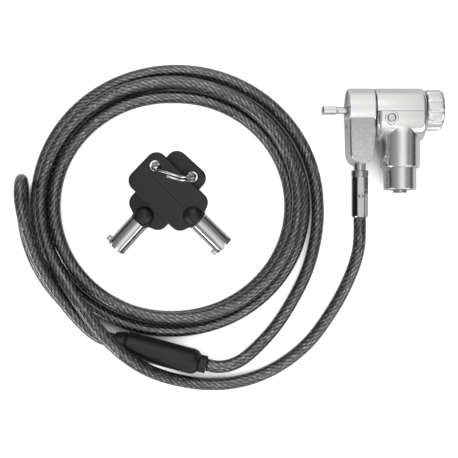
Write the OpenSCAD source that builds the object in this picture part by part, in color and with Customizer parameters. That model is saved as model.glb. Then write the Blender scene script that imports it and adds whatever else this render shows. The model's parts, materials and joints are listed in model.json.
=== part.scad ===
// Laptop cable lock: a keyed lock head with a turning T-shaped tip, a steel cable with an
// anchoring loop, and two tubular keys on a split ring. Millimetres.
// The origin is the end of the lock tip on the barrel's axis. The barrel runs along +X, the
// lock cylinder hangs towards -Y, and everything lies on the plane z = floor_z.

/* [Lock tip] */
// How far the tip stands out of the yoke's ring
tip_len = 10.2; // [9.4:0.2:12]
// Length of the T-shaped head of the tip
tip_head_len = 5.8; // [4:0.2:6.2]
// Thickness of the T head, which passes through the slot of the laptop
tip_t = 2.8; // [2.4:0.1:3.4]
// Width of the T head, along the slot
tip_w = 6.8; // [6.4:0.2:7.2]
// Gap between the back of the T head and the guide prongs
tip_prong_gap = 0.5; // [0.3:0.1:1]

/* [Yoke] */
// Length of the yoke's ring along the barrel
yoke_w = 10.8; // [10:0.2:14]
// Thickness of the yoke's tongue
tongue_t = 16; // [14:0.5:17]
// Reach of the tongue from the barrel's axis
tongue_len = 22.6; // [21:0.2:28]
// How much narrower the tongue is at its end
tongue_taper = 0.8; // [0.2:0.2:2]
// Wall thickness of the wear bush in the ring
bush_wall = 0.95; // [0.6:0.05:1.2]

/* [Housing] */
// Outer diameter of the barrel
barrel_d = 17.8; // [17:0.2:20]
// Length of the housing along the barrel
house_len = 20.4; // [19:0.2:26]
// How much the lower casting is deeper than the round barrel
saddle_drop = 3.75; // [2:0.25:5]
// Distance of the casting seam below the barrel's axis
seam_drop = 1.4; // [0:0.2:2]
// Distance of the lock cylinder's axis from the housing's yoke end
stem_from_end = 10.85; // [10.4:0.1:13]
// Diameter of the stem round the lock cylinder
stem_d = 16.2; // [16:0.1:17.6]
// Reach of the stem from the barrel's axis
stem_len = 23.8; // [22.6:0.2:28]
// Diameter of the cross pin that holds the spindle
cross_pin_d = 3.1; // [2.4:0.1:3.4]
// Diameter of the raised boss round the cross pin
boss_d = 5.2; // [4.4:0.2:6]

/* [Knob] */
// Diameter of the knob
knob_d = 17; // [15:0.2:20]
// Length of the knob
knob_len = 7.1; // [6:0.1:10]
// Number of finger flutes
knob_flutes = 12; // [8:1:20]
// Radius of each flute
flute_r = 0.9; // [0.5:0.1:1.3]

/* [Lock cylinder] */
// Diameter of the lock cylinder that slides in the stem
plug_d = 13.4; // [12.6:0.1:13.8]
// How far the lock cylinder stands out of the stem when the lock is open
plug_out = 9; // [7:0.5:12]
// How far it is pushed in to lock
plug_travel = 5; // [3:0.5:5.5]
// Diameter of the keyway in the lock cylinder
keyway_d = 8.7; // [8.6:0.05:9.2]
// Diameter of the centre post in the keyway
post_d = 5.8; // [5:0.1:6]
// How far the post stands out of the lock cylinder
post_out = 1.2; // [0.2:0.2:2]
// Number of lock pins round the post
lock_pins = 7; // [5:1:8]

/* [Cable] */
// Outer diameter of the coated steel cable
cable_d = 5.2; // [4.4:0.1:5.4]
// Gap between neighbouring loops of the coil
coil_gap = 0.5; // [0.45:0.05:1]
// Mean radius at which the cable enters the coil
coil_r = 53.4; // [50:0.2:56]
// How much wider than tall the coil's loops are, as a radius
coil_oval = 1.5; // [0:0.1:2]
// Ferrule diameter
ferrule_d = 7; // [6.4:0.1:8]
// Ferrule length
ferrule_len = 19.4; // [16:0.2:19.8]
// Diameter of the swivel stud between yoke and ferrule
stud_d = 4.9; // [4:0.1:5.4]
// Length of the stud that shows between yoke and ferrule
stud_gap_len = 2.1; // [1.5:0.1:3]

/* [Loop sleeve] */
// Width of the sleeve over the loop's crimp
sleeve_w = 10.5; // [10:0.1:11]
// Height of the sleeve
sleeve_h = 12.8; // [12.6:0.1:12.8]
// Length of the round collar at the sleeve's end
collar_len = 3.2; // [2.4:0.2:4]

/* [Keys] */
// Length of a key's grip, behind its dome
grip_len = 29; // [28:0.2:30]
// Width of the grip
grip_w = 19; // [17.6:0.2:19]
// Thickness of the grip
grip_t = 3.2; // [2.6:0.1:3.2]
// Diameter of the dome over the tube's root
dome_d = 8.7; // [8.5:0.05:8.8]
// Outer diameter of the key's tube
key_tube_d = 8.25; // [7.8:0.05:8.25]
// Bore of the key's tube
key_bore_d = 6.4; // [6.2:0.05:6.8]
// Distance from the dome to the tube's end
key_tube_len = 18.1; // [16:0.1:18.2]
// Diameter of the ring hole in the grip
ring_hole_d = 4.5; // [4.4:0.05:4.8]
// Gap between the two grips where one lies on the other
grip_gap = 0.25; // [0.2:0.05:0.4]

/* [Split ring] */
// Mean radius of the split ring
ring_r = 8.9; // [8.85:0.05:9]
// Width of the flat wire along the ring's axis
wire_w = 0.9; // [0.8:0.05:0.9]
// Height of the flat wire across the ring
wire_t = 1.2; // [1:0.05:1.2]
// Gap between the ring's two turns
wire_gap = 0.42; // [0.41:0.01:0.5]

/* [Fits] */
// Clearance between castings that move on each other
cast_gap = 0.3; // [0.25:0.05:0.4]
// Clearance of pieces that are pressed or screwed into their seat
seat_gap = 0.02; // [0.01:0.01:0.05]

/* [Hidden] */
$fn = 64;
hull_fn = 32;
cut = 0.5;                     // how far cutting tools overrun a face

barrel_r = barrel_d / 2;
floor_z = -barrel_r;

// Stations along the barrel, from the tip to the knob
yoke_x0 = tip_len;
yoke_x1 = yoke_x0 + yoke_w;
yoke_xc = (yoke_x0 + yoke_x1) / 2;
house_x0 = yoke_x1 + cast_gap;
house_x1 = house_x0 + house_len;
stem_x = house_x0 + stem_from_end;
knob_x0 = house_x1 + cast_gap;
knob_x1 = knob_x0 + knob_len;

// Nose: the hub that carries the yoke, with its flange and guide prongs
nose_r = 5;
flange_r = 7.2;
flange_t = 1.1;
flange_x0 = yoke_x0 + 0.8;
flange_x1 = flange_x0 + flange_t;
recess_r = flange_r + 0.4;
recess_x1 = flange_x1 + cast_gap;
nose_wall_x = flange_x1 + cast_gap;
nose_x1 = house_x0 + 3.2;
bush_r = nose_r + cast_gap + bush_wall;

// Spindle
spindle_r = 3;
spindle_bore_r = spindle_r + cast_gap;
shank_r = tip_t / 2;
spindle_x0 = nose_wall_x + 0.4;
tenon_r = 2.5;
tenon_x0 = knob_x0 + 1;
collar_r = 5.2;
collar_t = 3.6;
notch_w = 4.8;
cavity_r = 6;
cavity_x0 = nose_x1 + 0.5;
cavity_x1 = house_x1 - 3.2;
clip_x = cavity_x1 - 1;
pin_x = house_x0 + 5.8;
pin_y = -4.1;
cross_pin_r = cross_pin_d / 2;
neck_r = -pin_y - cross_pin_r - cast_gap;
neck_len = cross_pin_d + 2 * cast_gap + 0.2;

// Stem and lock cylinder, measured along -Y
plug_r = plug_d / 2;
plug_bore_r = plug_r + cast_gap;
plug_y1 = -stem_len - plug_out;
plug_y0 = -17.5;
bore_top = -10;
cap_t = 1.2;
bolt_r = 2;
bolt_y = -collar_r - cast_gap - plug_travel;
chamber_r = 5.5;
rotor_r = chamber_r - cast_gap;
rotor_t = 4.6;
keyway_depth = 8.8;
rotor_y0 = plug_y1 + keyway_depth + cast_gap;
lock_pin_len = 4.5;
lock_pin_r = 0.5;

// Conical spring in the stem: its turns nest in each other when the lock cylinder is pushed in
spring_wire_d = 0.7;
spring_turns = 3;
spring_rings = 24;
spring_r0 = 3.4;
spring_r1 = 5.9;
spring_end = spring_wire_d / 2 + 0.05;
spring_y0 = bore_top - spring_end;
spring_y1 = plug_y0 + cap_t + spring_end;

// Stud and ferrule
stud_r = stud_d / 2;
stud_head_r = 3.8;
stud_head_t = 2.2;
stud_depth = 6.1;
stud_seat_y = -tongue_len + stud_depth;
ferrule_y0 = -tongue_len - stud_gap_len;
ferrule_y1 = ferrule_y0 - ferrule_len;
stud_in_ferrule = 4;

// Route of the cable: x, y and height above the surface that it lies on
cable_r = cable_d / 2;
coil_c = [-61.5, -38.5];
coil_start = 195;
loop_rings = 24;
rings_in = 25;
rings_climb = 12;
rings_total = 85;
coil_step = cable_d + coil_gap;
coil_sides = 6;
tube_sides = 12;

// From the ferrule the lead first runs on straight, then bends down to the floor
lead_bend = [[0, -5.9, 0], [-0.3, -11.9, -0.4], [-1.6, -18.4, -1.4]];
lead_points = [
    [11.6, -69.5, 6], [8, -77.5, 4.3], [3, -86, 3.1], [-4, -95.5, 2.6], [-13, -103.5, 2.6],
    [-24, -109.8, 2.6], [-36, -113.3, 2.7], [-48, -113.8, 3.5], [-59, -111.8, 6],
    [-68.5, -108.2, 10.2], [-77, -102.8, 14.6], [-85, -96, 16.3], [-92.2, -88.2, 16],
    [-98.6, -79.9, 14.3], [-104.6, -71.6, 11.7], [-109.5, -64.2, 9.4]];
tail_points = [
    [-1.2, -46.5, 2.6], [-2.6, -56, 2.6], [-5.6, -66.5, 2.6], [-10.6, -77, 2.6],
    [-17.4, -88, 2.6], [-23, -94.7, 3.1], [-28.6, -100.1, 4.2], [-33.2, -103.5, 5.3],
    [-38, -105.5, 6.1], [-42.9, -106.1, 6.4]];
eye_points = [
    [-91, -93.6, 9.3], [-95.6, -90.6, 9.3], [-101.6, -84.6, 9.3], [-107.3, -77.5, 9.7],
    [-112.5, -69.7, 10.8], [-116.5, -61.5, 12.6], [-119.2, -53, 14.6], [-121.1, -44.5, 16.4],
    [-122.3, -36.5, 17], [-122.6, -32.4, 16], [-123, -29.8, 13.4], [-123.6, -28.8, 9.8],
    [-124.2, -29.8, 6.2], [-124.7, -32.4, 3.6], [-124.9, -36.5, 2.6], [-124.6, -44.5, 2.6],
    [-122.9, -53.5, 2.6], [-119.6, -62.5, 2.6], [-114.8, -70.9, 2.6], [-108.8, -78.4, 2.6],
    [-102.4, -85, 2.6], [-96.2, -90.5, 2.7], [-91, -93.7, 3.2]];

// Sleeve: its two ends, and the height of the two legs of the loop at its tip
sleeve_tip = [-86.3, -95.3];
sleeve_end = [-47.6, -105.3];
sleeve_axis_h = 6.4;
leg_offset = 2.85;
sleeve_sides = 32;
sleeve_run = sleeve_end - sleeve_tip;
sleeve_total = norm(sleeve_run);
sleeve_turn = atan2(sleeve_run[1], sleeve_run[0]);
collar_d = 7.3;

// Keys: where each dome lies and where its tube points
key_set_y = -56.7;
key_set_z = 4.17;
key_tilt = 6.3;
back_dome = [-73.4, -43.3];
back_turn = 227.7;
front_dome = [-53.1, -43];
front_turn = -44.5;
grip_corner = 5;
grip_front = 0.7;
grip_bulge_r = 9;
grip_bulge_x = 3.4;
ring_hole = [-25.4, 3.8];
tang_r = 2.9;
tang_x = -2;
key_root_x = 3.5;
key_notch_r = 0.75;
ring_c = [-61, -25.3, 10.16];
ring_turn = -17.65;
ring_lean = 14.8;
ring_steps = 36;
ring_jog = 6;
ring_jog_end = 160;

// ---- Shapes on the barrel's axis and on the stem's axis ----

module along_x(x0, y = 0, z = 0) {
    translate([x0, y, z]) rotate([0, 90, 0]) children();
}

module rod_x(r, x0, x1) {
    along_x(x0) cylinder(r = r, h = x1 - x0);
}

module along_down(x, y0) {
    translate([x, y0, 0]) rotate([90, 0, 0]) children();
}

module rod_down(r, x, y0, y1) {
    along_down(x, y0) cylinder(r = r, h = y0 - y1);
}

// Half profile of a bar of radius r and length l with its two ends rounded by f0 and f1
module bar_profile(r, l, f0, f1) {
    translate([0, f0]) square([r, l - f0 - f1]);
    square([r - f0, l - f1]);
    translate([0, f0]) square([r - f1, l - f0]);
    translate([r - f0, f0]) circle(f0);
    translate([r - f1, l - f1]) circle(f1);
}

module bar(r, l, f0, f1) {
    rotate_extrude() bar_profile(r, l, f0, f1);
}

// ---- Swept tubes ----

function unit(v) = v / norm(v);
function lifted(points) = [for (p = points) [p[0], p[1], p[2] + floor_z]];
function ahead(path, i) =
    unit(path[min(i + 1, len(path) - 1)] - path[max(i - 1, 0)]);
function side_of(t) = unit(cross([0, 0, 1], t));

// One corner of ring i: a is its angle round the path
function tube_corner(path, dirs, i, a, r) =
    let (s = side_of(dirs[i]), u = cross(dirs[i], s))
    path[i] + r * (cos(a) * s + sin(a) * u);

module tube(path, dirs, r, sides) {
    last = len(path) - 1;
    corners = [for (i = [0:last]) for (k = [0:sides - 1])
        tube_corner(path, dirs, i, (k + 0.5) * 360 / sides, r)];
    polyhedron(corners, tube_faces(last, sides), convexity = 10);
}

// Corner radius of a tube whose flats lie on the true round surface
function outside_r(r, sides) = r / cos(180 / sides);

function tube_faces(last, sides) = concat(
    [for (k = [1:sides - 2]) [0, k, k + 1]],
    [for (k = [1:sides - 2]) [last * sides, last * sides + k + 1, last * sides + k]],
    [for (i = [0:last - 1]) for (k = [0:sides - 1])
        [i * sides + k, (i + 1) * sides + k, i * sides + (k + 1) % sides]],
    [for (i = [0:last - 1]) for (k = [0:sides - 1])
        [i * sides + (k + 1) % sides, (i + 1) * sides + k, (i + 1) * sides + (k + 1) % sides]]);

// The eye stands on edge, so its rings are set square to its own upright plane
function eye_side(path, i) =
    let (t = ahead(path, i), flat = unit([path[i][0] - coil_c[0], path[i][1] - coil_c[1], 0]))
    unit(cross(cross(t, flat), t));

module eye_tube(path, r, sides) {
    last = len(path) - 1;
    corners = [for (i = [0:last]) for (k = [0:sides - 1])
        let (t = i == 0 ? -sleeve_dir : i == last ? sleeve_dir : ahead(path, i),
             s = i == 0 || i == last ? sleeve_side : eye_side(path, i),
             u = cross(t, s), a = (k + 0.5) * 360 / sides)
        path[i] + r * (cos(a) * s + sin(a) * u)];
    polyhedron(corners, tube_faces(last, sides), convexity = 10);
}

sleeve_dir = [cos(sleeve_turn), sin(sleeve_turn), 0];
sleeve_side = unit([sleeve_tip[0] - coil_c[0], sleeve_tip[1] - coil_c[1], 0]
    - ([sleeve_tip[0] - coil_c[0], sleeve_tip[1] - coil_c[1], 0] * sleeve_dir) * sleeve_dir);

// Least distance between points of a wound path that are half a turn or more apart
function least_step(path, turn) =
    min([for (i = [0:len(path) - 1 - turn / 2]) for (j = [i + turn / 2:len(path) - 1])
        norm(path[i] - path[j])]);

// ---- Coil: the loops wind in on the upper layer and out again on the lower one ----

turn_back = rings_in + rings_climb / 2;
function coil_out(i) = (i < turn_back ? -i : i - 2 * turn_back) / loop_rings;
function coil_layer(i) =
    i < rings_in ? 1 : i < rings_in + rings_climb ? 1 - (i - rings_in) / rings_climb : 0;
function coil_point(i) =
    let (a = coil_start - i * 360 / loop_rings,
         r = coil_r + coil_oval * cos(2 * a) + coil_out(i) * coil_step)
    [coil_c[0] + r * cos(a), coil_c[1] + r * sin(a),
     floor_z + cable_r + coil_layer(i) * coil_step];
coil_path = [for (i = [0:rings_total]) coil_point(i)];
coil_dirs = [for (i = [0:rings_total]) ahead(coil_path, i)];
echo(coil_least_gap = least_step(coil_path, loop_rings) - cable_d);

ferrule_exit = [yoke_xc, ferrule_y1, 0];
lead_path = concat([ferrule_exit], [for (p = lead_bend) ferrule_exit + p], lifted(lead_points),
    [coil_path[0]]);
lead_last = len(lead_path) - 1;
lead_dirs = [for (i = [0:lead_last])
    i == 0 ? [0, -1, 0] : i == lead_last ? coil_dirs[0] : ahead(lead_path, i)];

sleeve_mouth = [sleeve_end[0], sleeve_end[1], floor_z + sleeve_axis_h];
tail_path = concat([coil_path[rings_total]], lifted(tail_points), [sleeve_mouth]);
tail_last = len(tail_path) - 1;
tail_dirs = [for (i = [0:tail_last])
    i == 0 ? coil_dirs[rings_total] : i == tail_last ? -sleeve_dir : ahead(tail_path, i)];

loop_mouth = [sleeve_tip[0], sleeve_tip[1], floor_z + sleeve_axis_h];
eye_path = concat(
    [loop_mouth + [0, 0, leg_offset]], lifted(eye_points), [loop_mouth - [0, 0, leg_offset]]);

// ---- Cable side ----

module end_ferrule() color("silver") difference() {
    union() {
        rod_down(ferrule_d / 2 - 0.12, yoke_xc, ferrule_y0 - 2.2, ferrule_y1);
        along_down(yoke_xc, ferrule_y0) bar(ferrule_d / 2, 2.5, 0.3, 0.2);
    }
    rod_down(stud_r + seat_gap, yoke_xc, ferrule_y0 + cut, ferrule_y0 - stud_in_ferrule);
    translate([yoke_xc, (ferrule_y0 + ferrule_y1) / 2 - 1, ferrule_d / 2 + 0.5])
        sphere(1.35);
    for (k = [0:7])
        translate([yoke_xc, ferrule_y1, 0]) rotate([90, k * 45, 0])
            translate([ferrule_d / 2, 0, 0]) sphere(0.55);
}

module swivel_stud() color("silver") {
    rod_down(stud_r, yoke_xc, stud_seat_y, ferrule_y0 - stud_in_ferrule + 0.1);
    rod_down(stud_head_r, yoke_xc, stud_seat_y + stud_head_t + cast_gap,
        stud_seat_y + cast_gap);
    rod_down(stud_r, yoke_xc, stud_seat_y + cast_gap, stud_seat_y - 0.1);
}

module cable_lead() color("dimgray") 
    tube(lead_path, lead_dirs, outside_r(cable_r, tube_sides), tube_sides);

module cable_coil() color("dimgray") tube(coil_path, coil_dirs, cable_r, coil_sides);

module cable_tail() color("dimgray") 
    tube(tail_path, tail_dirs, outside_r(cable_r, tube_sides), tube_sides);

module cable_eye() color("dimgray") 
    eye_tube(eye_path, outside_r(cable_r, tube_sides), tube_sides);

// Oval sleeve: distance from the tip, half width and half height of each section
sleeve_body = sleeve_total - collar_len;
sleeve_sections = [
    [0, 3.7, 5.9], [0.5, 4, 6.1], [4.6, sleeve_w / 2 - 0.35, sleeve_h / 2 - 0.1],
    [4.9, sleeve_w / 2 - 0.7, sleeve_h / 2 - 0.4],
    [5.4, sleeve_w / 2 - 0.7, sleeve_h / 2 - 0.4], [5.7, sleeve_w / 2, sleeve_h / 2],
    [sleeve_body - 2.4, sleeve_w / 2, sleeve_h / 2],
    [sleeve_body - 1.6, sleeve_w / 2 - 0.2, sleeve_h / 2 - 0.3],
    [sleeve_body - 0.3, 4, 4.4], [sleeve_body, collar_d / 2, collar_d / 2]];

module place_sleeve() {
    translate(loop_mouth) rotate([0, 0, sleeve_turn]) children();
}

module loop_sleeve() color([0.11, 0.11, 0.11]) place_sleeve() {
    last = len(sleeve_sections) - 1;
    corners = [for (s = sleeve_sections) for (k = [0:sleeve_sides - 1])
        let (a = (k + 0.5) * 360 / sleeve_sides) [s[0], s[1] * cos(a), s[2] * sin(a)]];
    polyhedron(corners, tube_faces(last, sleeve_sides), convexity = 4);
}

module loop_collar() color([0.14, 0.14, 0.14]) place_sleeve() difference() {
    along_x(sleeve_body) bar(collar_d / 2, collar_len, 0.1, 0.5);
    rod_x(cable_r - 0.6, sleeve_body - cut, sleeve_body + 0.8);
}

// Two turns of flat wire, side by side: the wire steps from one to the other in a short jog
function ring_axis() = [sin(ring_turn) * cos(ring_lean), -cos(ring_turn) * cos(ring_lean),
    -sin(ring_lean)];
module split_ring() color("gainsboro") {
    across = [cos(ring_turn), sin(ring_turn), 0];
    axis = ring_axis();
    up = cross(axis, across) * (cross(axis, across)[2] < 0 ? -1 : 1);
    last = 2 * ring_steps - ring_jog;
    step = wire_w + wire_gap;
    corners = [for (i = [0:last])
        let (a = ring_jog_end + i * 360 / ring_steps, out = cos(a) * across + sin(a) * up,
             moved = min(max(i - ring_steps + ring_jog, 0), ring_jog) / ring_jog)
        for (c = wire_corners())
            [ring_c[0], ring_c[1], ring_c[2] + floor_z] + (ring_r + c[0]) * out
                + ((moved - 0.5) * step + c[1]) * axis];
    polyhedron(corners, tube_faces(last, len(wire_corners())), convexity = 8);
}
function wire_corners() = [
    [wire_t / 2, -wire_w / 4], [wire_t / 2, wire_w / 4], [wire_t / 4, wire_w / 2],
    [-wire_t / 4, wire_w / 2], [-wire_t / 2, wire_w / 4], [-wire_t / 2, -wire_w / 4],
    [-wire_t / 4, -wire_w / 2], [wire_t / 4, -wire_w / 2]];

// ---- Yoke ----

module tongue_outline(inset) {
    half = yoke_w / 2 - inset;
    end = half - tongue_taper / 2;
    end_y = -tongue_len + yoke_w / 2 - tongue_taper / 2;
    translate([yoke_xc, 0]) {
        polygon([[-half, -1], [half, -1], [end, end_y], [-end, end_y]]);
        translate([0, end_y]) circle(end);
    }
}

module yoke_solid() {
    along_x(yoke_x0) bar(barrel_r, yoke_w, 0.5, 0.4);
    hull($fn = hull_fn) {
        linear_extrude(tongue_t, center = true) tongue_outline(0.6);
        linear_extrude(tongue_t - 1.4, center = true) tongue_outline(0);
    }
}

module yoke_cuts() {
    rod_x(bush_r + seat_gap, yoke_x0 - cut, yoke_x1 + cut);
    rod_x(recess_r, yoke_x0 - cut, recess_x1);
    rod_down(stud_r + cast_gap, yoke_xc, stud_seat_y + cut, -tongue_len - cut);
    rod_down(stud_head_r + cast_gap, yoke_xc, stud_seat_y + stud_head_t + 2 * cast_gap,
        stud_seat_y);
    for (s = [-1, 1])
        translate([yoke_xc + s * (yoke_w / 2 + 0.35), -tongue_len / 2 - 1, 0])
            cube([1.2, tongue_len - 6, 0.6], center = true);
}

module yoke_half(side) {
    intersection() {
        difference() {
            yoke_solid();
            yoke_cuts();
        }
        translate([yoke_x0 - 1, -tongue_len - 1, side > 0 ? 0 : -barrel_r - 1])
            cube([yoke_w + 2, tongue_len + barrel_d, barrel_r + 1]);
    }
}

module yoke_front() color("silver") yoke_half(1);

module yoke_back() color("silver") yoke_half(-1);

module yoke_bush() color("gray") difference() {
    rod_x(bush_r, recess_x1, yoke_x1);
    rod_x(nose_r + cast_gap, recess_x1 - cut, yoke_x1 + cut);
}

// ---- Lock head ----

prong_in = shank_r + 0.2;

module prong(side) {
    intersection() {
        rod_x(tip_w / 2 - 0.1, tip_head_len + tip_prong_gap, flange_x0 + 0.2);
        translate([tip_head_len, side > 0 ? -shank_r : 0.05, side > 0 ? prong_in : -tip_w / 2])
            cube([tip_len, shank_r - 0.05, tip_w / 2 - prong_in]);
    }
}

module nose_guide() color("lightgray") {
    difference() {
        union() {
            rod_x(nose_r, flange_x0, nose_x1);
            rod_x(flange_r, flange_x0, flange_x1);
        }
        rod_x(shank_r + cast_gap, flange_x0 - cut, nose_wall_x + cut);
        rod_x(spindle_bore_r, nose_wall_x, nose_x1 + cut);
    }
    prong(1);
    prong(-1);
}

// Outer form of both castings: the barrel, and under it the same bar dropped a little
module casting(f0, drop) {
    along_x(house_x0) bar(barrel_r, house_len, f0, 2);
    if (drop > 0) {
        along_x(house_x0, -drop) bar(barrel_r, house_len, f0, 2);
        translate([house_x0, 0, 0]) rotate([90, 0, 0]) linear_extrude(drop)
            rotate(-90) {
                bar_profile(barrel_r, house_len, f0, 2);
                mirror([1, 0]) bar_profile(barrel_r, house_len, f0, 2);
            }
    }
}

module head_cuts() {
    rod_x(nose_r + seat_gap, house_x0 - cut, nose_x1);
    rod_x(cavity_r, nose_x1, cavity_x1);
    rod_x(spindle_bore_r, cavity_x1 - cut, house_x1 + cut);
    rod_down(plug_bore_r, stem_x, bore_top, -stem_len - cut);
    rod_down(bolt_r + cast_gap, stem_x, 0, bore_top - cut);
}

// Boss round the cross pin, drawn out to a point on its lower side
module boss(h) {
    translate([pin_x, pin_y, 0]) linear_extrude(h) {
        circle(boss_d / 2);
        rotate(-135) square(boss_d / 2);
    }
}

module below_seam(side) {
    translate([house_x0 - 1, side > 0 ? -seam_drop : -2 * barrel_d, -barrel_d])
        cube([house_len + 2, side > 0 ? barrel_d : 2 * barrel_d - seam_drop, 2 * barrel_d]);
}

module housing_body() color("silver") difference() {
    union() {
        intersection() {
            casting(3, saddle_drop);
            below_seam(-1);
        }
        along_down(stem_x, -seam_drop) bar(stem_d / 2, stem_len - seam_drop, 0.5, 0.7);
        intersection() {
            boss(barrel_r + 0.12);
            below_seam(-1);
        }
    }
    head_cuts();
    translate([pin_x, pin_y, -barrel_r - cut])
        cylinder(r = cross_pin_r + seat_gap, h = barrel_d + 2 * cut);
}

module housing_cover() color("silver") difference() {
    intersection() {
        casting(0.4, 0);
        below_seam(1);
    }
    head_cuts();
    translate([pin_x, pin_y, -barrel_r - cut])
        cylinder(r = cross_pin_r + cast_gap, h = barrel_d + 2 * cut);
}

module housing_pin() color("gainsboro")
    translate([pin_x, pin_y, -barrel_r]) bar(cross_pin_r, barrel_d + 0.25, 0.1, 0.3);

// ---- Spindle ----

module knob() color("silver") difference() {
    along_x(knob_x0) bar(knob_d / 2, knob_len, 0.4, 1.1);
    for (k = [0:knob_flutes - 1])
        rotate([k * 360 / knob_flutes + 4, 0, 0])
            along_x(knob_x0 - cut, knob_d / 2 + flute_r * 0.45)
                cylinder(r = flute_r, h = knob_len + 2 * cut, $fn = 24);
    rod_x(knob_d / 2 - 2.6, knob_x1 - 1.1, knob_x1 + cut);
    rod_x(tenon_r + seat_gap, knob_x0 - cut, knob_x1);
    rod_x(spindle_r + seat_gap, knob_x0 - cut, tenon_x0);
}

module knob_cap() color("gainsboro")
    along_x(knob_x1 - 1.1) bar(knob_d / 2 - 2.6 - seat_gap, 1.4, 0.1, 0.5);

module spindle() color("lightgray") difference() {
    union() {
        rod_x(spindle_r, spindle_x0, pin_x - neck_len / 2);
        rod_x(neck_r, pin_x - neck_len / 2, pin_x + neck_len / 2);
        rod_x(spindle_r, pin_x + neck_len / 2, clip_x);
        rod_x(spindle_r - 0.4, clip_x, clip_x + 0.8);
        rod_x(spindle_r, clip_x + 0.8, tenon_x0);
        rod_x(tenon_r, tenon_x0, knob_x1 - 1.1 - seat_gap);
        rod_x(collar_r, stem_x - collar_t / 2, stem_x + collar_t / 2);
    }
    rod_x(shank_r + seat_gap, spindle_x0 - cut, spindle_x0 + 3);
    translate([stem_x - collar_t, -notch_w / 2, spindle_r + 0.4])
        cube([2 * collar_t, notch_w, collar_r]);
}

module spindle_clip() color("dimgray") difference() {
    rod_x(spindle_r + 1.4, clip_x + seat_gap, clip_x + 0.8 - seat_gap);
    rod_x(spindle_r - 0.4 + seat_gap, clip_x - cut, clip_x + 0.8 + cut);
    translate([clip_x - cut, -1.6, 0]) cube([2, 3.2, spindle_r + 2]);
}

// T head: a flat bar with a bevelled nose, on a round shank that turns between the prongs
module t_bar() color("gainsboro") {
    intersection() {
        along_x(0) bar(tip_w / 2, tip_head_len, 0.8, 0.2);
        translate([0, -tip_t / 2, -tip_w / 2]) cube([tip_head_len, tip_t, tip_w]);
    }
    rod_x(shank_r, tip_head_len - 0.1, spindle_x0 + 2.9);
}

// ---- Lock cylinder ----

module lock_cylinder() color("silver") difference() {
    along_down(stem_x, plug_y0) bar(plug_r, plug_y0 - plug_y1, 0.3, 0.6);
    rod_down(keyway_d / 2, stem_x, plug_y0 + cut, plug_y1 - cut);
    rod_down(chamber_r, stem_x, plug_y0 + cut, rotor_y0 - cast_gap);
    translate([stem_x - 0.9, plug_y1 - cut, 0]) cube([1.8, cut + 1.6, keyway_d / 2 + 1.2]);
}

module locking_bolt() color("lightgray") {
    rod_down(plug_r - 0.4, stem_x, plug_y0 + cap_t, plug_y0);
    along_down(stem_x, bolt_y) bar(bolt_r, bolt_y - plug_y0 - 0.1, 0.5, 0.1);
}

spring_last = spring_turns * spring_rings;
function spring_out(i) = [cos(i * 360 / spring_rings), 0, sin(i * 360 / spring_rings)];
spring_path = [for (i = [0:spring_last])
    let (done = i / spring_last, r = spring_r0 + done * (spring_r1 - spring_r0))
    [stem_x, spring_y0 + done * (spring_y1 - spring_y0), 0] + r * spring_out(i)];
echo(spring_least_gap = least_step(spring_path, spring_rings) - spring_wire_d);

module plunger_spring() color("dimgray") {
    corners = [for (i = [0:spring_last]) for (k = [0:coil_sides - 1])
        let (t = ahead(spring_path, i), s = unit(cross(cross(t, spring_out(i)), t)),
             u = cross(t, s), a = k * 360 / coil_sides)
        spring_path[i] + spring_wire_d / 2 * (cos(a) * s + sin(a) * u)];
    polyhedron(corners, tube_faces(spring_last, coil_sides), convexity = 10);
}

module core_rotor() color("gray") {
    difference() {
        rod_down(rotor_r, stem_x, rotor_y0 + rotor_t, rotor_y0);
        rod_down(post_d / 2 + seat_gap, stem_x, rotor_y0 + rotor_t + cut, rotor_y0 - cut);
    }
    for (k = [0:lock_pins - 1])
        translate([stem_x, rotor_y0 + 0.2, 0]) rotate([90, k * 360 / lock_pins, 0])
            translate([(post_d + keyway_d) / 4, 0, 0]) cylinder(r = lock_pin_r, h = lock_pin_len);
}

module core_post() color("gainsboro") difference() {
    along_down(stem_x, rotor_y0 + rotor_t - 0.4)
        bar(post_d / 2, rotor_y0 + rotor_t - 0.4 - plug_y1 + post_out, 0.2, 0.3);
    for (a = [0, 120, 240])
        translate([stem_x, plug_y1 - post_out, 0]) rotate([0, a, 0])
            translate([post_d / 2 - 0.9, -0.5, -0.45]) cube([1.5, 1.5, 0.9]);
}

// ---- Keys ----

module key_frame(dome, turn, lift) {
    translate([0, key_set_y, key_set_z + floor_z]) rotate([key_tilt, 0, 0])
        translate([dome[0], dome[1] - key_set_y, lift]) rotate([0, 0, turn]) children();
}

module grip_outline(inset) {
    r = grip_corner - inset;
    for (x = [-grip_len + grip_corner, grip_front - grip_corner])
        for (y = [-1, 1])
            translate([x, y * (grip_w / 2 - grip_corner)]) circle(r);
    translate([grip_bulge_x - grip_bulge_r, 0]) circle(grip_bulge_r - inset);
}

// Half profile of a rod with one round end; the rod goes on for l past the ball's centre
module dome_profile(r, l) {
    translate([0, r]) square([r, l]);
    intersection() {
        translate([0, r]) circle(r);
        square(r);
    }
}

module key_grip() difference() {
    union() {
        hull($fn = hull_fn) {
            linear_extrude(grip_t, center = true) grip_outline(0.6);
            linear_extrude(grip_t - 1.2, center = true) grip_outline(0);
        }
        along_x(-dome_d / 2) rotate_extrude() dome_profile(dome_d / 2, grip_bulge_x - 0.2);
    }
    rod_x(tang_r + seat_gap, tang_x - seat_gap, grip_bulge_x + cut);
    translate([ring_hole[0], ring_hole[1], -grip_t]) cylinder(d = ring_hole_d, h = 2 * grip_t);
}

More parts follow.
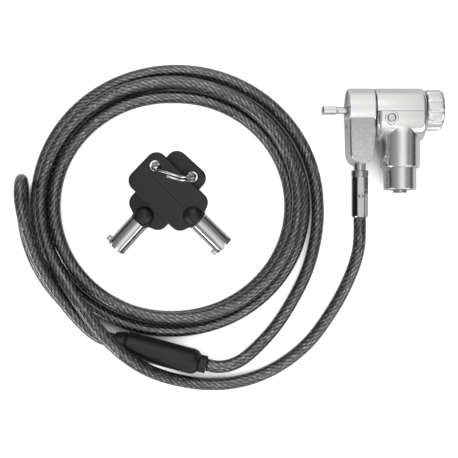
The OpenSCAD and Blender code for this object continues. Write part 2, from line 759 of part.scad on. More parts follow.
module key_tube() difference() {
    union() {
        along_x(key_root_x) bar(key_tube_d / 2, key_tube_len - key_root_x, 0.2, 0.25);
        rod_x(tang_r, tang_x, key_root_x + 0.2);
        translate([key_tube_len - 1.4, -key_tube_d / 2 + 0.5, 0]) rotate([90, 0, 0])
            bar(1.15, 2, 0.2, 0.4);
    }
    rod_x(key_bore_d / 2, key_root_x + 2, key_tube_len + cut);
    for (k = [0:lock_pins - 1])
        rotate([k * 360 / lock_pins + 65, 0, 0])
            along_x(key_tube_len - 0.9 - 0.5 * (k * 3 % 4), key_tube_d / 2 + 0.1)
                cylinder(r = key_notch_r, h = key_tube_d / 2, $fn = 24);
}

module key_back_grip() color([0.13, 0.13, 0.13])
    key_frame(back_dome, back_turn, 0) key_grip();

module key_back_tube() color("silver") key_frame(back_dome, back_turn, 0) key_tube();

module key_front_grip() color([0.15, 0.15, 0.15])
    key_frame(front_dome, front_turn, grip_t + grip_gap) key_grip();

module key_front_tube() color("silver")
    key_frame(front_dome, front_turn, grip_t + grip_gap) key_tube();

end_ferrule();
swivel_stud();
cable_lead();
cable_coil();
cable_tail();
cable_eye();
loop_sleeve();
loop_collar();
split_ring();
yoke_front();
yoke_back();
yoke_bush();
nose_guide();
housing_body();
housing_cover();
housing_pin();
knob();
knob_cap();
spindle();
spindle_clip();
t_bar();
lock_cylinder();
locking_bolt();
plunger_spring();
core_rotor();
core_post();
key_back_grip();
key_back_tube();
key_front_grip();
key_front_tube();
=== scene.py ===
import json
import math

import bmesh
import bpy
from mathutils import Matrix, Vector


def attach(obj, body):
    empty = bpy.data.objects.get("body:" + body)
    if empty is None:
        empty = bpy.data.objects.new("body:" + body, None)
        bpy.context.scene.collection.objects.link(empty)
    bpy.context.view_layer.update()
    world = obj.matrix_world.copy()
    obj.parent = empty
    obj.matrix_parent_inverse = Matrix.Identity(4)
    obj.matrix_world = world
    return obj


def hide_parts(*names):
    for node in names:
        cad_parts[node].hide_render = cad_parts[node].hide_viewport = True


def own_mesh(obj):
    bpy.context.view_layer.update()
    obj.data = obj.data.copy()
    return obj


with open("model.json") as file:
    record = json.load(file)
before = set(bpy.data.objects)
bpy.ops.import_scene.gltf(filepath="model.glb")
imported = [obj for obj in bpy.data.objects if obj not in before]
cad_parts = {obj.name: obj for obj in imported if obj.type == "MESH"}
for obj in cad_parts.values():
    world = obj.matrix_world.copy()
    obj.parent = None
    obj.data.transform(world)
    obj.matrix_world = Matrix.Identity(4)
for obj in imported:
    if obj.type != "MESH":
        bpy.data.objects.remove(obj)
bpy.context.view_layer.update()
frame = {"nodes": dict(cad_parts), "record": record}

floorZ = -0.0089               # the surface that everything lies on

cameraView = {
    "place": (-0.0383, -0.0489, 0.3411),
    "halfWidth": 0.2768,         # half the frame's width, a metre from the lens
}


def aimCamera(view):
    lens = bpy.data.cameras.new("benchCamera")
    lens.angle = 2 * math.atan(view["halfWidth"])
    camera = bpy.data.objects.new("benchCamera", lens)
    camera.location = view["place"]          # straight down, with +Y at the top
    bpy.context.scene.collection.objects.link(camera)
    bpy.context.scene.camera = camera


aimCamera(cameraView)
print("camera set")


def looseObject(name, form):
    mesh = bpy.data.meshes.new(name)
    form.to_mesh(mesh)
    form.free()
    thing = bpy.data.objects.new(name, mesh)
    bpy.context.scene.collection.objects.link(thing)
    return thing


def addObject(name, form, body):
    thing = looseObject(name, form)
    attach(thing, body)
    return thing


def bridgeRings(form, rings, capped=False, smooth=True):
    for near, far in zip(rings, rings[1:]):
        for k in range(max(len(near), len(far))):
            corners = [near[k % len(near)], near[(k + 1) % len(near)],
                       far[(k + 1) % len(far)], far[k % len(far)]]
            form.faces.new(list(dict.fromkeys(corners))).smooth = smooth
    if capped:
        form.faces.new(rings[0])
        form.faces.new(rings[-1])
    bmesh.ops.recalc_face_normals(form, faces=form.faces)


def loftForm(rows, sides, place):
    form = bmesh.new()
    rings = []
    for along, wide, high in rows:
        turns = [math.tau * k / sides for k in range(sides)] if wide else [0.0]
        rings.append([form.verts.new(place @ Vector((along, wide * math.cos(turn),
                                                     high * math.sin(turn))))
                      for turn in turns])
    bridgeRings(form, rings)
    return form


def lathe(name, rows, sides, axis):
    return looseObject(name, loftForm([(along, radius, radius) for along, radius in rows],
                                      sides, axis))


def rod(radius, start, end, axis, sides=64):
    return lathe("rod", [(start, 0), (start, radius), (end, radius), (end, 0)], sides, axis)


def settle(thing):
    bpy.context.view_layer.update()
    seen = thing.evaluated_get(bpy.context.evaluated_depsgraph_get())
    mesh = bpy.data.meshes.new_from_object(seen)
    thing.modifiers.clear()
    thing.data = mesh


def carve(thing, tool, operation):
    cutter = thing.modifiers.new("carve", "BOOLEAN")
    cutter.object = tool
    cutter.operation = operation
    cutter.solver = "EXACT"
    settle(thing)
    bpy.data.objects.remove(tool)


class Finish:
    def __init__(self, name, world=None):
        self.material = world or bpy.data.materials.new(name)
        self.material.use_nodes = True
        self.tree = self.material.node_tree
        self.tree.nodes.clear()
        self.output = self.add("OutputWorld" if world else "OutputMaterial")

    def add(self, kind, sockets=None, **settings):
        made = self.tree.nodes.new("ShaderNode" + kind)
        for key, value in settings.items():
            setattr(made, key, value)
        for key, value in (sockets or {}).items():
            if isinstance(value, bpy.types.NodeSocket):
                self.tree.links.new(value, made.inputs[key])
            else:
                made.inputs[key].default_value = value
        return made

    def math(self, operation, first, second=0.0):
        return self.add("Math", {0: first, 1: second}, operation=operation).outputs[0]

    def noise(self, where, scale, detail=3.0, roughness=0.5):
        made = self.add("TexNoise", {"Vector": where, "Scale": scale, "Detail": detail,
                                     "Roughness": roughness})
        return made.outputs[0]

    def ramp(self, value, stops):
        made = self.add("ValToRGB", {0: value})
        marks = made.color_ramp.elements
        while len(marks) < len(stops):
            marks.new(0.5)
        for mark, (place, tone) in zip(marks, stops):
            mark.position = place
            mark.color = (tone, tone, tone, 1) if isinstance(tone, float) else (*tone, 1)
        return made.outputs[0]

    def vary(self, noise, outLow, outHigh):
        return self.spread(noise, 0.3, 0.7, outLow, outHigh)     # where noise mostly lies

    def spread(self, value, low, high, outLow, outHigh):
        made = self.add("MapRange", {0: value, 1: low, 2: high, 3: outLow, 4: outHigh})
        return made.outputs[0]

    def bump(self, height, distance, strength=1.0, normal=None):
        sockets = {"Height": height, "Distance": distance, "Strength": strength}
        if normal:
            sockets["Normal"] = normal
        return self.add("Bump", sockets).outputs[0]

    def principled(self, sockets):
        made = self.add("BsdfPrincipled", sockets)
        self.tree.links.new(made.outputs[0], self.output.inputs[0])
        return self.material


# the cable's route, in metres: x, y and height above the floor
cableShape = {
    "diameter": 0.0052,
    "sides": 20,                 # mesh columns round the tube
    "coilCentre": (-0.0615, -0.0385),
    "coilStart": 195,            # degrees
    "coilRadius": 0.0534,
    "coilOval": 0.0015,
    "loopRings": 24,             # points of the coil to one loop
    "ringsIn": 25,               # points wound inwards before the cable climbs down
    "ringsClimb": 12,            # points of that change of layer
    "ringsTotal": 85,
    "loopStep": 0.0057,          # from one loop to the next, sideways and in height
    "finer": 4,                  # path points for each ring of the coil
    "finerEnds": 5,              # and for each step of the lead and the tail
    "finerEye": 6,
    "exit": (0.0156, -0.0441, 0),
}

leadPoints = [
    (0.0116, -0.0695, 0.006), (0.008, -0.0775, 0.0043), (0.003, -0.086, 0.0031),
    (-0.004, -0.0955, 0.0026), (-0.013, -0.1035, 0.0026), (-0.024, -0.1098, 0.0026),
    (-0.036, -0.1133, 0.0027), (-0.048, -0.1138, 0.0035), (-0.059, -0.1118, 0.006),
    (-0.0685, -0.1082, 0.0102), (-0.077, -0.1028, 0.0146), (-0.085, -0.096, 0.0163),
    (-0.0922, -0.0882, 0.016), (-0.0986, -0.0799, 0.0143), (-0.1046, -0.0716, 0.0117),
    (-0.1095, -0.0642, 0.0094)]
tailPoints = [
    (-0.0012, -0.0465, 0.0026), (-0.0026, -0.056, 0.0026), (-0.0056, -0.0665, 0.0026),
    (-0.0106, -0.077, 0.0026), (-0.0174, -0.088, 0.0026), (-0.023, -0.0947, 0.0031),
    (-0.0286, -0.1001, 0.0042), (-0.0332, -0.1035, 0.0053), (-0.038, -0.1055, 0.0061),
    (-0.0429, -0.1061, 0.0064)]
eyePoints = [
    (-0.091, -0.0936, 0.0093), (-0.0956, -0.0906, 0.0093), (-0.1016, -0.0846, 0.0093),
    (-0.1073, -0.0775, 0.0097), (-0.1125, -0.0697, 0.0108), (-0.1165, -0.0615, 0.0126),
    (-0.1192, -0.053, 0.0146), (-0.1211, -0.0445, 0.0164), (-0.1223, -0.0365, 0.017),
    (-0.1226, -0.0324, 0.016), (-0.123, -0.0298, 0.0134), (-0.1236, -0.0288, 0.0098),
    (-0.1242, -0.0298, 0.0062), (-0.1247, -0.0324, 0.0036), (-0.1249, -0.0365, 0.0026),
    (-0.1246, -0.0445, 0.0026), (-0.1229, -0.0535, 0.0026), (-0.1196, -0.0625, 0.0026),
    (-0.1148, -0.0709, 0.0026), (-0.1088, -0.0784, 0.0026), (-0.1024, -0.085, 0.0026),
    (-0.0962, -0.0905, 0.0027), (-0.091, -0.0937, 0.0032)]

sleeveShape = {
    "tip": (-0.0863, -0.0953),
    "end": (-0.0476, -0.1053),
    "axisHeight": 0.0064,
    "legOffset": 0.00285,
}


def lifted(points):
    return [Vector((x, y, z + floorZ)) for x, y, z in points]


def coilPoint(ring, shape):
    turnBack = shape["ringsIn"] + shape["ringsClimb"] / 2
    out = (-ring if ring < turnBack else ring - 2 * turnBack) / shape["loopRings"]
    layer = min(1, max(0, 1 - (ring - shape["ringsIn"]) / shape["ringsClimb"]))
    angle = math.radians(shape["coilStart"] - ring * 360 / shape["loopRings"])
    radius = (shape["coilRadius"] + shape["coilOval"] * math.cos(2 * angle)
              + out * shape["loopStep"])
    x, y = shape["coilCentre"]
    height = floorZ + shape["diameter"] / 2 + layer * shape["loopStep"]
    return Vector((x + radius * math.cos(angle), y + radius * math.sin(angle), height))


def smoothPath(points, steps):
    padded = [2 * points[0] - points[1], *points, 2 * points[-1] - points[-2]]
    path = []
    for before, start, end, after in zip(padded, padded[1:], padded[2:], padded[3:]):
        gaps = [math.sqrt((b - a).length) for a, b in
                ((before, start), (start, end), (end, after))]
        out = (start - before) / gaps[0] - (end - before) / (gaps[0] + gaps[1])
        out = (out + (end - start) / gaps[1]) * gaps[1]
        into = (end - start) / gaps[1] - (after - start) / (gaps[1] + gaps[2])
        into = (into + (after - end) / gaps[2]) * gaps[1]
        for step in range(steps):
            t = step / steps
            path.append(start * (2 * t ** 3 - 3 * t ** 2 + 1) + out * (t ** 3 - 2 * t ** 2 + t)
                        + end * (3 * t ** 2 - 2 * t ** 3) + into * (t ** 3 - t ** 2))
    return path + [points[-1]]


def rested(path, radius):
    return [Vector((point.x, point.y, max(point.z, floorZ + radius))) for point in path]


def sweepTube(name, path, radius, sides):
    tube = bmesh.new()
    lay = tube.loops.layers.uv.new("lay")
    rings, lengths, side, travelled = [], [], None, 0.0
    for i, point in enumerate(path):
        ahead = (path[min(i + 1, len(path) - 1)] - path[max(i - 1, 0)]).normalized()
        side = (side or ahead.orthogonal())
        side = (side - side.dot(ahead) * ahead).normalized()
        up = ahead.cross(side)
        if i:
            travelled += (point - path[i - 1]).length
        lengths.append(travelled)
        rings.append([tube.verts.new(point + radius * (
            math.cos(math.tau * k / sides) * side + math.sin(math.tau * k / sides) * up))
            for k in range(sides)])
    for i in range(len(path) - 1):
        for k in range(sides):
            face = tube.faces.new((rings[i][k], rings[i][(k + 1) % sides],
                                   rings[i + 1][(k + 1) % sides], rings[i + 1][k]))
            face.smooth = True
            corners = ((i, k), (i, k + 1), (i + 1, k + 1), (i + 1, k))
            for loop, (ring, turn) in zip(face.loops, corners):
                loop[lay].uv = (lengths[ring], turn / sides)
    tube.faces.new(reversed(rings[0]))
    tube.faces.new(rings[-1])
    return addObject(name, tube, "cable"), travelled


exitPoint = Vector(cableShape["exit"])
leadStart = [exitPoint + Vector(step) for step in (
    (0, 0, 0), (0, -0.0059, 0), (-0.0003, -0.0119, -0.0004), (-0.0016, -0.0184, -0.0014))]
coilPath = [coilPoint(i / cableShape["finer"], cableShape)
            for i in range(cableShape["ringsTotal"] * cableShape["finer"] + 1)]
sleeveTip = Vector((*sleeveShape["tip"], floorZ + sleeveShape["axisHeight"]))
sleeveEnd = Vector((*sleeveShape["end"], floorZ + sleeveShape["axisHeight"]))
leadPath = smoothPath([*leadStart, *lifted(leadPoints), coilPath[0],
                       coilPath[cableShape["finer"]]], cableShape["finerEnds"])
tailPath = smoothPath([coilPath[-1 - cableShape["finer"]], coilPath[-1], *lifted(tailPoints),
                       sleeveEnd], cableShape["finerEnds"])
shared = cableShape["finerEnds"] + 1          # points that the coil's own path gives
cableRadius = cableShape["diameter"] / 2
cablePath = rested(leadPath[:-shared] + coilPath + tailPath[shared:], cableRadius)
leg = Vector((0, 0, sleeveShape["legOffset"]))
eyePath = rested(smoothPath([sleeveTip + leg, *lifted(eyePoints), sleeveTip - leg],
                            cableShape["finerEye"]), cableRadius)

longCable, cableLength = sweepTube("longCable", cablePath, cableRadius, cableShape["sides"])
anchorEye, eyeLength = sweepTube("anchorEye", eyePath, cableRadius, cableShape["sides"])
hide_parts("cable_lead", "cable_coil", "cable_tail")
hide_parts("cable_eye")
print("cable", round(cableLength, 4), "eye", round(eyeLength, 4))

sleeveLook = {
    "sides": 64,
    "rows": [                    # distance from the tip, half width, half height
        (0.0, 0.0, 0.0), (0.0, 0.0028, 0.005), (0.0001, 0.0034, 0.0056),
        (0.0005, 0.0038, 0.006), (0.0016, 0.0042, 0.0061), (0.0032, 0.00465, 0.0062),
        (0.0044, 0.0049, 0.0063), (0.00475, 0.00488, 0.00628), (0.0049, 0.0047, 0.0061),
        (0.00495, 0.0045, 0.0059), (0.00545, 0.0045, 0.0059), (0.0055, 0.0047, 0.0061),
        (0.00565, 0.00505, 0.0063), (0.0061, 0.00522, 0.00638), (0.012, 0.00525, 0.0064),
        (0.024, 0.00525, 0.0064), (0.0332, 0.00524, 0.00639), (0.0342, 0.00518, 0.0063),
        (0.035, 0.005, 0.0061), (0.0356, 0.0047, 0.0057), (0.0361, 0.0043, 0.0051),
        (0.0364, 0.004, 0.0046), (0.0366, 0.0038, 0.0041), (0.03675, 0.0036, 0.0038),
        (0.0368, 0.0034, 0.0035), (0.0368, 0.0, 0.0)],
}


def placeAlong(tip, end):
    run = (end - tip).normalized()
    side = Vector((0, 0, 1)).cross(run).normalized()
    turn = Matrix((run, side, run.cross(side))).transposed().to_4x4()
    return Matrix.Translation(tip) @ turn


sleeveForm = loftForm(sleeveLook["rows"], sleeveLook["sides"], placeAlong(sleeveTip, sleeveEnd))
sleeve = addObject("loopSleeve", sleeveForm, "cable")
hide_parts("loop_sleeve")

ringShape = {
    "centre": (-0.061, -0.0253, 0.01016),
    "turn": -17.65,
    "lean": 14.8,
    "radius": 0.0089,
    "wireWide": 0.0009,          # along the ring's own axis
    "wireHigh": 0.0012,
    "wireCorner": 0.00022,
    "gap": 0.00042,              # between the two turns
    "steps": 120,                # to a turn
    "jog": 20,                   # steps over which the wire crosses to its second turn
    "jogEnd": 160,               # degrees
}


def windRing(shape):
    turn, lean = math.radians(shape["turn"]), math.radians(shape["lean"])
    across = Vector((math.cos(turn), math.sin(turn), 0))
    axis = Vector((math.sin(turn) * math.cos(lean), -math.cos(turn) * math.cos(lean),
                   -math.sin(lean)))
    up = axis.cross(across)
    if up.z < 0:
        up = -up
    centre = Vector(shape["centre"]) + Vector((0, 0, floorZ))
    pitch = shape["wireWide"] + shape["gap"]
    wide, high, corner = shape["wireWide"] / 2, shape["wireHigh"] / 2, shape["wireCorner"]
    section = []
    for sx, sy, start in ((1, 1, 0), (-1, 1, 90), (-1, -1, 180), (1, -1, 270)):
        for step in range(4):
            angle = math.radians(start + step * 30)
            section.append((sx * (high - corner) + corner * math.cos(angle),
                            sy * (wide - corner) + corner * math.sin(angle)))
    form = bmesh.new()
    rings = []
    total = 2 * shape["steps"] - shape["jog"]
    for i in range(total + 1):
        angle = math.radians(shape["jogEnd"] + i * 360 / shape["steps"])
        out = math.cos(angle) * across + math.sin(angle) * up
        moved = min(max(i - shape["steps"] + shape["jog"], 0), shape["jog"]) / shape["jog"]
        moved = moved * moved * (3 - 2 * moved) - 0.5
        rings.append([form.verts.new(centre + (shape["radius"] + outwards) * out
                                     + (moved * pitch + sideways) * axis)
                      for outwards, sideways in section])
    bridgeRings(form, rings, capped=True)
    return addObject("splitRing", form, "cable")


splitRing = windRing(ringShape)
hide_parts("split_ring")

knobShape = {
    "start": 0.042,
    "length": 0.0071,
    "radius": 0.0085,
    "flutes": 12,
    "fluteDepth": 0.0009,
    "fluteWidth": 0.2,           # share of one land and flute
    "fluteCurve": 0.8,           # below 1 rounds the bottom of a flute
    "fluteEnd": 0.0016,          # how far inside the radius the flutes have run out
    "landFlat": 0.968,           # half width over the flat lands, as a share
    "landShare": 0.8,            # how much of that flat is cut
    "firstFlute": 11,            # degrees
    "steps": 18,                 # mesh columns to one land and flute
    "rows": [                    # along the knob, and how far inside its radius
        (0, 0.0060), (0, 0.0006), (0.0001, 0.0003), (0.0003, 0.0001), (0.0006, 0),
        (0.002, 0), (0.004, 0), (0.0056, 0), (0.00605, 0.00004), (0.0064, 0.00018),
        (0.0067, 0.0004), (0.00692, 0.0007), (0.00704, 0.00105), (0.0071, 0.0015),
        (0.0071, 0.0024), (0.007, 0.00255), (0.006, 0.0026)],
}


def turnKnob(shape):
    form = bmesh.new()
    columns = shape["flutes"] * shape["steps"]
    rings = []
    for along, inside in shape["rows"]:
        ring = []
        for k in range(columns):
            share = (k / shape["steps"]) % 1
            groove = max(0.0, 1 - min(share, 1 - share) / shape["fluteWidth"])
            depth = shape["fluteDepth"] * groove ** shape["fluteCurve"]
            away = (share - 0.5) * math.tau / shape["flutes"]
            land = shape["radius"] * (1 - shape["landFlat"] / math.cos(away))
            land = max(0.0, land) * shape["landShare"]
            fade = max(0.0, 1 - inside / shape["fluteEnd"])
            radius = shape["radius"] - inside - (depth + land) * fade
            angle = math.radians(shape["firstFlute"]) + math.tau * k / columns
            ring.append(form.verts.new((shape["start"] + along, radius * math.cos(angle),
                                        radius * math.sin(angle))))
        rings.append(ring)
    bridgeRings(form, rings, capped=True)
    return addObject("flutedKnob", form, "turner")


knob = turnKnob(knobShape)
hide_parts("knob")

gripShape = {
    "length": 0.0302,
    "width": 0.019,
    "thick": 0.0032,
    "corner": 0.0044,
    "front": 0.0018,             # square end, from the dome's centre
    "bulge": 0.0034,             # round end
    "bulgeRadius": 0.009,
    "domeRadius": 0.00435,
    "ringHole": (-0.0254, 0.0038),
    "ringHoleRadius": 0.00225,
    "ringHoleMouth": 0.0003,     # its countersink
    "outline": 120,              # points round the grip
    "edge": 0.0007,              # rounding of its rim
    "ridgeY": -0.0004,
    "slope": 0.055,              # fall of the faces on either side of the ridge
    "shoulder": (-0.006, 0.045, -0.075),  # its place, and its lean along and across
    "bead": (0.00045, 0.00016),  # radius of the ridge's bead and how far it stands out
    "beadEnds": (-0.0262, -0.0052),
}
keySet = {
    "y": -0.0567,                # line about which both keys lean together
    "z": 0.00417,
    "tilt": 6.3,
    "backDome": (-0.0734, -0.0433),
    "backTurn": 227.7,
    "frontDome": (-0.0531, -0.043),
    "frontTurn": -44.5,
    "frontLift": 0.00345,
}


def keyPlace(dome, turn, lift):
    return (Matrix.Translation((0, keySet["y"], keySet["z"] + floorZ))
            @ Matrix.Rotation(math.radians(keySet["tilt"]), 4, "X")
            @ Matrix.Translation((dome[0], dome[1] - keySet["y"], lift))
            @ Matrix.Rotation(math.radians(turn), 4, "Z"))


def gripOutline(shape):
    discs = [(x, y, shape["corner"]) for x in (-shape["length"] + shape["corner"],
                                               shape["front"] - shape["corner"])
             for y in (-shape["width"] / 2 + shape["corner"],
                       shape["width"] / 2 - shape["corner"])]
    discs.append((shape["bulge"] - shape["bulgeRadius"], 0, shape["bulgeRadius"]))
    points = []
    for k in range(shape["outline"]):
        angle = math.tau * (k + 0.5) / shape["outline"]
        dx, dy = math.cos(angle), math.sin(angle)
        x, y, r = max(discs, key=lambda disc: disc[0] * dx + disc[1] * dy + disc[2])
        points.append((x + r * dx, y + r * dy))
    return points


def mouldGrip(name, shape, place, body):
    form = bmesh.new()
    half = shape["thick"] / 2
    low = [form.verts.new((x, y, -half)) for x, y in gripOutline(shape)]
    high = [form.verts.new((x, y, half)) for x, y in gripOutline(shape)]
    form.faces.new(reversed(low))
    form.faces.new(high)
    for k in range(len(low)):
        n = (k + 1) % len(low)
        form.faces.new((low[k], low[n], high[n], high[k]))
    for up in (1, -1):
        for along, leanX, leanY in ((-0.02, 0, -shape["slope"]), shape["shoulder"]):
            geometry = form.verts[:] + form.edges[:] + form.faces[:]
            cut = bmesh.ops.bisect_plane(
                form, geom=geometry, plane_co=(along, shape["ridgeY"], up * half),
                plane_no=Vector((leanX, leanY, up)), clear_outer=True)
            rim = [edge for edge in cut["geom_cut"] if isinstance(edge, bmesh.types.BMEdge)]
            bmesh.ops.contextual_create(form, geom=rim)
    bmesh.ops.recalc_face_normals(form, faces=form.faces)
    weights = form.edges.layers.float.new("bevel_weight_edge")
    for edge in form.edges:
        bend = edge.calc_face_angle(0)
        if bend > 0.6:
            edge[weights] = 1.0
        elif abs(edge.verts[0].co.z) > half * 0.6 and abs(edge.verts[1].co.z) > half * 0.6:
            edge[weights] = 0.15
    grip = looseObject(name, form)
    soften = grip.modifiers.new("soften", "BEVEL")
    soften.limit_method = "WEIGHT"
    soften.width = shape["edge"]
    soften.segments = 4
    settle(grip)
    r = shape["domeRadius"]
    ball = [(-r * math.cos(math.radians(a)), r * math.sin(math.radians(a)))
            for a in range(0, 91, 6)]
    mouth = shape["bulge"] - 0.0002          # where the dome ends and the tube comes out
    dome = [*ball, (mouth - 0.0005, r), (mouth - 0.0001, r - 0.0002), (mouth, r - 0.0005),
            (mouth, 0)]
    carve(grip, lathe("dome", dome, 64, Matrix.Identity(4)), "UNION")
    beadRadius, proud = shape["bead"]
    for up in (1, -1):
        along = Matrix.Translation((0, shape["ridgeY"], up * (half - beadRadius + proud)))
        carve(grip, rod(beadRadius, *shape["beadEnds"], along, 16), "UNION")
    hole, mouth = shape["ringHoleRadius"], shape["ringHoleMouth"]
    upright = (Matrix.Translation((*shape["ringHole"], 0))
               @ Matrix.Rotation(math.radians(-90), 4, "Y"))
    upper = [(half - mouth - 0.0001, hole), (half - 0.0001, hole + mouth),
             (half + 0.001, hole + mouth + 0.0011), (half + 0.001, 0)]
    drill = [(-along, radius) for along, radius in reversed(upper)] + upper
    carve(grip, lathe("drill", drill, 48, upright), "DIFFERENCE")
    for face in grip.data.polygons:
        face.use_smooth = True
    grip.data.set_sharp_from_angle(angle=math.radians(38))
    grip.data.transform(place)
    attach(grip, body)
    return grip


tubeShape = {
    "root": 0.0035,
    "end": 0.0181,
    "radius": 0.004125,
    "bore": 0.0032,
    "lug": (0.0167, 0.0022, 0.0018, 0.0056),  # its place, length, thickness and reach
    "lugRound": 0.0004,
    "notches": 7,
    "notchRadius": 0.00075,
    "notchReach": (0.0028, 0.0046),  # from the tube's axis outwards
    "notchStep": 0.0002,         # between the four depths of a notch
    "firstNotch": 65,            # degrees
}


def softBox(name, size, centre, rounding):
    form = bmesh.new()
    bmesh.ops.create_cube(form, size=1, matrix=Matrix.Translation(centre)
                          @ Matrix.Diagonal((*size, 1)))
    bmesh.ops.bevel(form, geom=form.edges[:], offset=rounding, segments=4, profile=0.5,
                    affect="EDGES", clamp_overlap=True)
    return looseObject(name, form)


def drawKeyTube(name, shape, place, body):
    root, end, radius, bore = (shape[key] for key in ("root", "end", "radius", "bore"))
    tube = lathe(name, [
        (root, 0), (root, radius), (root + 0.0004, radius), (0.008, radius), (0.013, radius),
        (end - 0.0005, radius), (end - 0.0002, radius - 0.00006), (end, radius - 0.00025),
        (end, bore + 0.00015), (end - 0.00015, bore), (root + 0.002, bore),
        (root + 0.002, 0)], 128, Matrix.Identity(4))
    where, length, thick, reach = shape["lug"]
    inner = radius - 0.0005
    carve(tube, softBox("lug", (length, reach - inner, thick),
                        (where, -(reach + inner) / 2, 0), shape["lugRound"]), "UNION")
    for k in range(shape["notches"]):
        turn = math.radians(shape["firstNotch"]) + math.tau * k / shape["notches"]
        across = (Matrix.Rotation(turn, 4, "X")
                  @ Matrix.Translation((end - shape["notchStep"] * (1 + k * 3 % 4), 0, 0))
                  @ Matrix.Rotation(math.radians(90), 4, "Y"))
        carve(tube, rod(shape["notchRadius"], *shape["notchReach"], across, 32),
              "DIFFERENCE")
    for face in tube.data.polygons:
        face.use_smooth = True
    tube.data.set_sharp_from_angle(angle=math.radians(32))
    tube.data.transform(place)
    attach(tube, body)
    return tube


backPlace = keyPlace(keySet["backDome"], keySet["backTurn"], 0)
frontPlace = keyPlace(keySet["frontDome"], keySet["frontTurn"], keySet["frontLift"])
backTube = drawKeyTube("keyBackTube", tubeShape, backPlace, "cable")
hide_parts("key_back_tube")
frontTube = drawKeyTube("keyFrontTube", tubeShape, frontPlace, "front_key")
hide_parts("key_front_tube")
backGrip = mouldGrip("keyBackGrip", gripShape, backPlace, "cable")
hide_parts("key_back_grip")
frontGrip = mouldGrip("keyFrontGrip", gripShape, frontPlace, "front_key")
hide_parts("key_front_grip")
print("sleeve, ring, knob and keys made")

housingShape = {
    "start": 0.0213,
    "length": 0.0204,
    "radius": 0.0089,
    "drop": 0.00375,             # how far the saddle hangs below the barrel
    "seam": 0.0014,
    "seamGap": 0.00014,
    "leftRound": 0.0024,
    "coverRound": 0.0004,
    "rightRound": 0.0017,
    "stem": (0.03215, 0.0081, 0.0238),  # its place, radius and end
    "stemRows": (0.0016, 0.006, 0.0105, 0.015, 0.02),  # rings of its mesh
    "stemRound": 0.0006,         # rounding of its end
    "pin": (0.0271, -0.0041),
    "bossRadius": 0.0026,
    "bossPoint": 0.0031,         # how far its point reaches below the pin
    "bossTip": (0.00035, 0.00008),  # half width and height of the blunted point
    "bossHeight": 0.00918,
    "bores": [                   # radius, from and to, along the barrel
        (0.00498, 0.021, 0.0245), (0.006, 0.0244, 0.0385), (0.0033, 0.038, 0.042)],
    "stemBores": [(0.007, 0.01, 0.0245), (0.0023, 0.0, 0.0101)],
    "pinHole": 0.0017,
}


def endRows(shape, left, right):
    start, end = shape["start"], shape["start"] + shape["length"]
    rows = []
    for k in range(7):
        turn = math.radians(90 - 15 * k)
        rows.append((start + left * (1 - math.sin(turn)), left * (1 - math.cos(turn))))
    for k in range(9):
        turn = math.radians(11.25 * k)
        rows.append((end - right * (1 - math.sin(turn)), right * (1 - math.cos(turn))))
    return rows


def bodySection(shape, radius):
    top = -shape["seam"] - shape["seamGap"] / 2
    points = [(top, radius), ((top - shape["drop"]) / 2, radius)]
    for k in range(49):
        turn = math.pi * k / 48
        points.append((-shape["drop"] - radius * math.sin(turn), radius * math.cos(turn)))
    return points + [((top - shape["drop"]) / 2, -radius), (top, -radius)]


def coverSection(shape, radius):
    start = -math.asin((shape["seam"] - shape["seamGap"] / 2) / radius)
    return [(radius * math.sin(turn), radius * math.cos(turn)) for turn in
            (start + (math.pi - 2 * start) * k / 48 for k in range(49))]


def castForm(name, shape, section, left, right):
    form = bmesh.new()
    rings = [[form.verts.new((x, y, z)) for y, z in section(shape, shape["radius"] - inset)]
             for x, inset in endRows(shape, left, right)]
    bridgeRings(form, rings, capped=True, smooth=False)
    return looseObject(name, form)


def bossForm(shape):
    x, y = shape["pin"]
    radius, reach = shape["bossRadius"], shape["bossPoint"]
    leave = math.acos(radius / (reach + 0.0006))      # where the sides leave the circle
    outline = []
    for k in range(41):
        turn = -math.pi / 2 + leave + (math.tau - 2 * leave) * k / 40
        outline.append((x + radius * math.cos(turn), y + radius * math.sin(turn)))
    wide, high = shape["bossTip"]
    outline += [(x - wide, y - reach + high), (x, y - reach), (x + wide, y - reach + high)]
    form = bmesh.new()
    levels = [[form.verts.new((px, py, height)) for px, py in outline]
              for height in (-shape["bossHeight"], shape["bossHeight"])]
    bridgeRings(form, levels, capped=True, smooth=False)
    return looseObject("boss", form)


def dressMetal(thing, node, body, smoothTo=32):
    for face in thing.data.polygons:
        face.use_smooth = True
    thing.data.set_sharp_from_angle(angle=math.radians(smoothTo))
    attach(thing, body)
    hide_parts(node)
    return thing


